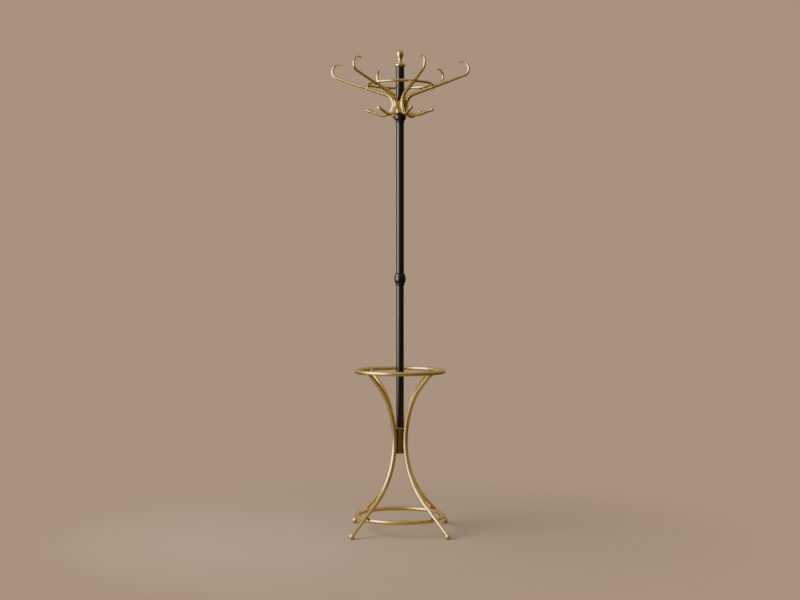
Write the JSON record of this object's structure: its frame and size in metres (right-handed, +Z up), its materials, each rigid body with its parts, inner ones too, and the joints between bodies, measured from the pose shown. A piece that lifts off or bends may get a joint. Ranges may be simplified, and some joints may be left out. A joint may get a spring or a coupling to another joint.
{
  "type": "standing coat rack",
  "caption": "Tall coat stand: splayed legs with umbrella ring, two-part pole with turned collars, and a swivelling crown of S-shaped hooks with a hat ring.",
  "frame": {"origin": "on the floor, on the pole's axis, at the bottom centre of the whole stand's box", "axes": "+Z up along the pole; the front, the side seen in the usual view, faces -Y; +X is to the viewer's right; the legs stand on the diagonals"},
  "size_m": [0.532, 0.5082, 1.85],
  "materials": {
    "satin_brass": "lacquered satin polish, lightly toned",
    "block_brass": "darkened flat brass",
    "black_lacquer": "black semi-gloss lacquer",
    "zinc_steel": "zinc-plated",
    "nylon": "natural nylon",
    "black_rubber": "matt"
  },
  "bodies": {
    "base": {"leg_front_left": "satin_brass", "leg_front_right": "satin_brass", "leg_rear_left": "satin_brass", "leg_rear_right": "satin_brass", "foot_front_left": "satin_brass", "foot_front_right": "satin_brass", "foot_rear_left": "satin_brass", "foot_rear_right": "satin_brass", "foot_studs": "zinc_steel", "floor_glides": "black_rubber", "umbrella_ring": "satin_brass", "brace_ring": "satin_brass", "brace_spacers": "block_brass", "brace_screws": "satin_brass", "leg_block": "block_brass", "block_bottom_plate": "satin_brass", "block_top_plate": "satin_brass", "tie_bolt": "zinc_steel", "tie_bolt_washer": "zinc_steel", "lower_pole": "black_lacquer", "lower_pole_bottom_plug": "zinc_steel", "lower_pole_top_plug": "zinc_steel", "middle_collar": "black_lacquer", "middle_stud": "zinc_steel", "upper_pole": "black_lacquer", "upper_pole_bottom_plug": "zinc_steel", "upper_pole_top_plug": "zinc_steel", "upper_collar": "black_lacquer", "crown_spindle": "zinc_steel", "thrust_washer": "nylon", "spindle_washer": "zinc_steel", "spindle_nut": "zinc_steel"},
    "crown": {"crown_post": "black_lacquer", "lower_bush": "nylon", "upper_bush": "nylon", "hook_sleeve": "satin_brass", "hook_1": "satin_brass", "hook_2": "satin_brass", "hook_3": "satin_brass", "hook_4": "satin_brass", "hook_5": "satin_brass", "hook_6": "satin_brass", "hook_buttons": "satin_brass", "hat_ring": "satin_brass", "hat_ring_spacers": "block_brass", "hat_ring_screws": "satin_brass", "post_cap": "satin_brass", "finial": "satin_brass", "finial_stud": "zinc_steel"}
  },
  "joints": [
    {"name": "crown_swivel", "type": "hinge", "parent": "base", "child": "crown", "pos_m": [0, 0, 1.6085], "axis": [0, 0, 1], "continuous": true}
  ]
}
